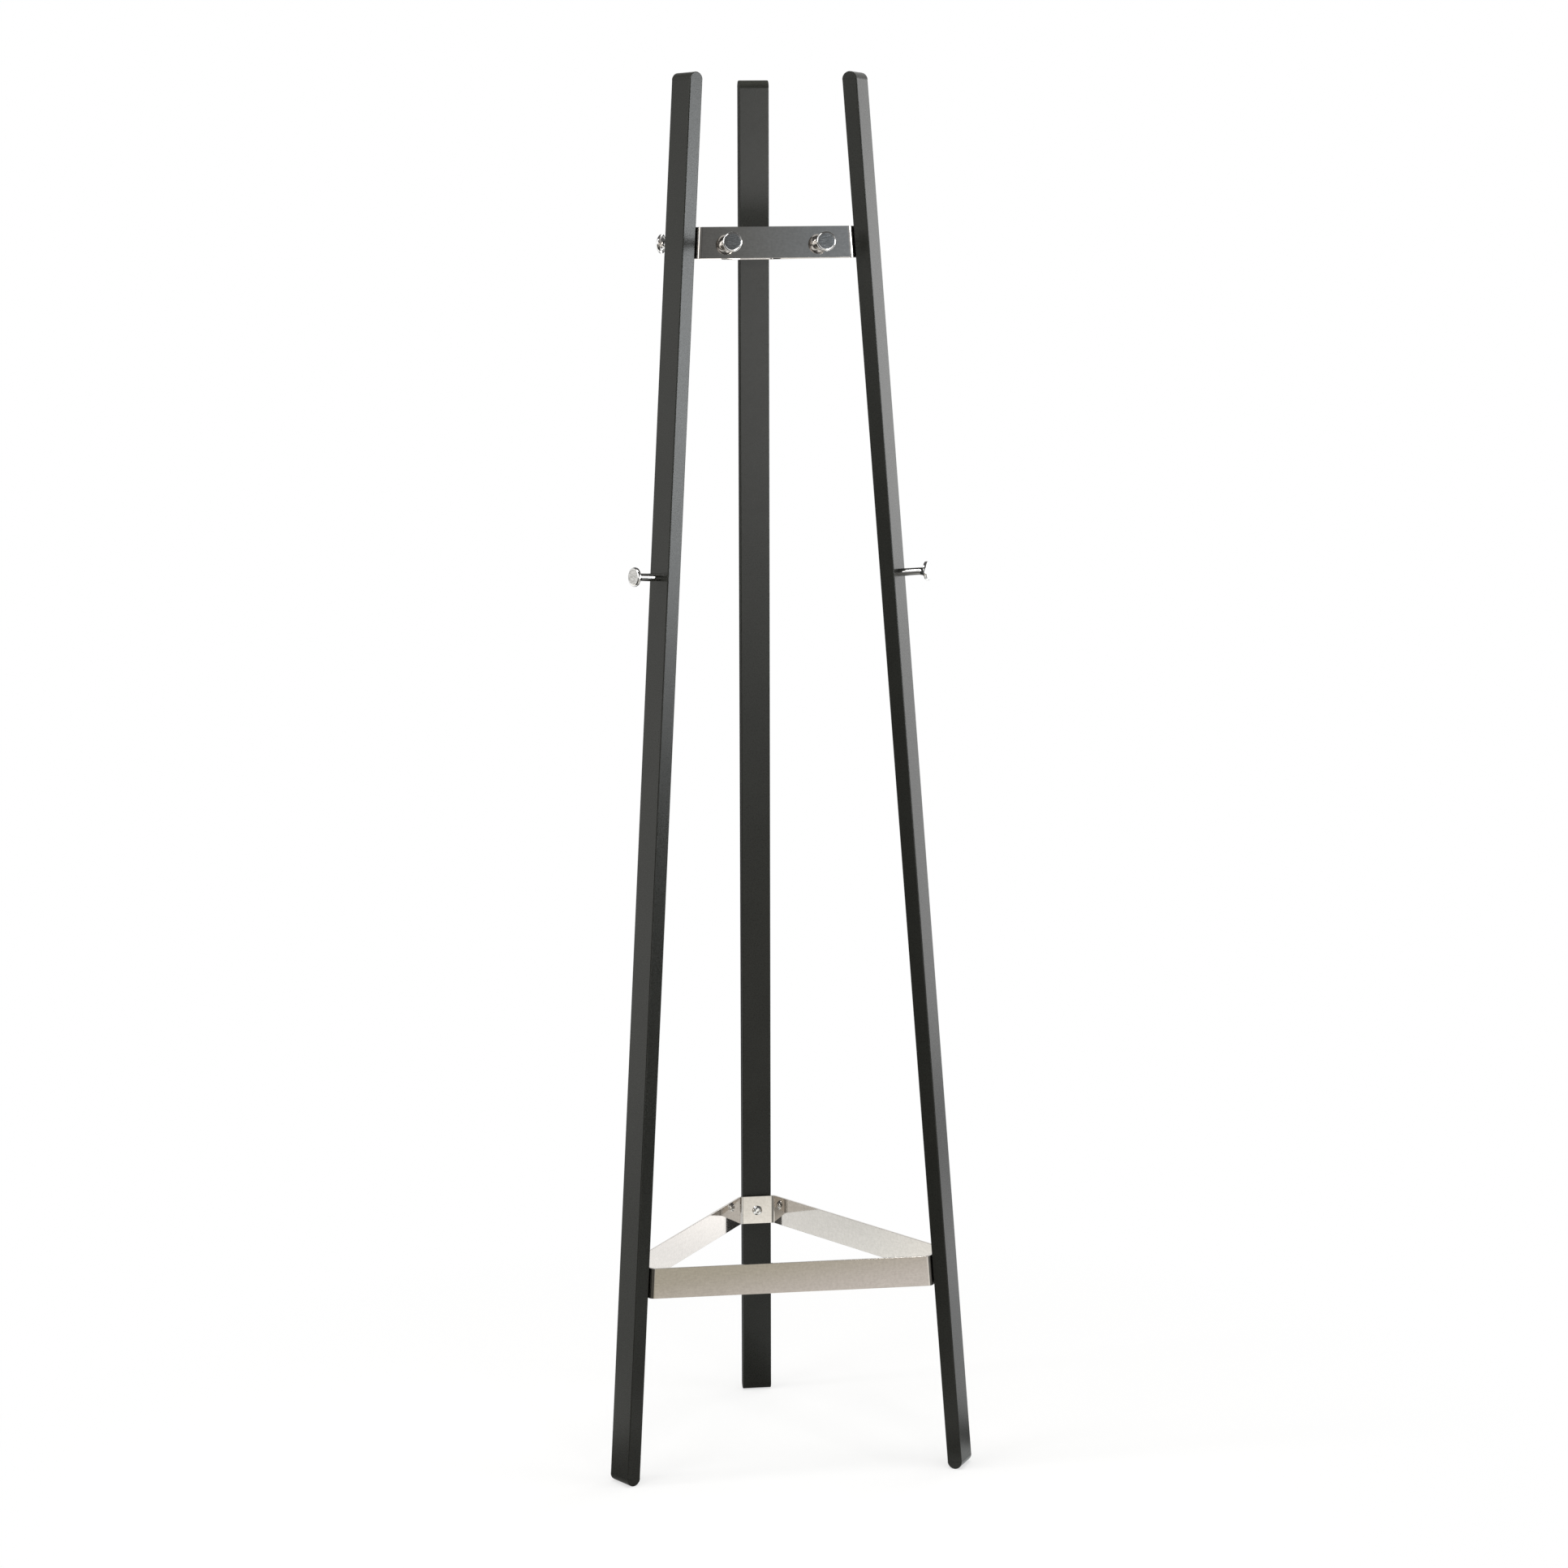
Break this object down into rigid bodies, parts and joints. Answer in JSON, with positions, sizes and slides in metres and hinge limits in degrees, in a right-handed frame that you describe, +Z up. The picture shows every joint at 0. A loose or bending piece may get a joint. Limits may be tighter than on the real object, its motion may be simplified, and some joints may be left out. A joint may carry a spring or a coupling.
{
  "type": "standing coat rack",
  "caption": "Free-standing coat rack: leaning bar legs held by bent polished strip rings, with flared knob hooks on the upper ring and pegs on the legs.",
  "frame": {"origin": "on the stand's axis at floor level", "axes": "+Z up along the stand's axis, +Y towards the back leg, +X to the right seen from the front"},
  "size_m": [0.4834, 0.4189, 1.83],
  "materials": {
    "leg_coat": "fine-grained satin anthracite powder coat on steel tube",
    "end_plug": "moulded in the colour of the legs, satin",
    "polished_strip": "mirror-polished stainless flat bar",
    "knob": "turned and polished stainless with a brushed front face",
    "screw": "bright stainless",
    "rivet_nut": "plain steel"
  },
  "bodies": {
    "root": {"leg_left": "leg_coat", "leg_right": "leg_coat", "leg_back": "leg_coat", "cap_left": "end_plug", "cap_right": "end_plug", "cap_back": "end_plug", "foot_left": "end_plug", "foot_right": "end_plug", "foot_back": "end_plug", "upper_ring": "polished_strip", "lower_ring": "polished_strip", "hook_front_left": "knob", "hook_front_right": "knob", "hook_right_front": "knob", "hook_right_back": "knob", "hook_left_back": "knob", "hook_left_front": "knob", "peg_left": "knob", "peg_right": "knob", "peg_back": "knob", "upper_ring_screws": "screw", "lower_ring_screws": "screw", "hook_screws": "screw", "ring_rivet_nuts": "rivet_nut", "peg_rivet_nuts": "rivet_nut"}
  },
  "joints": []
}
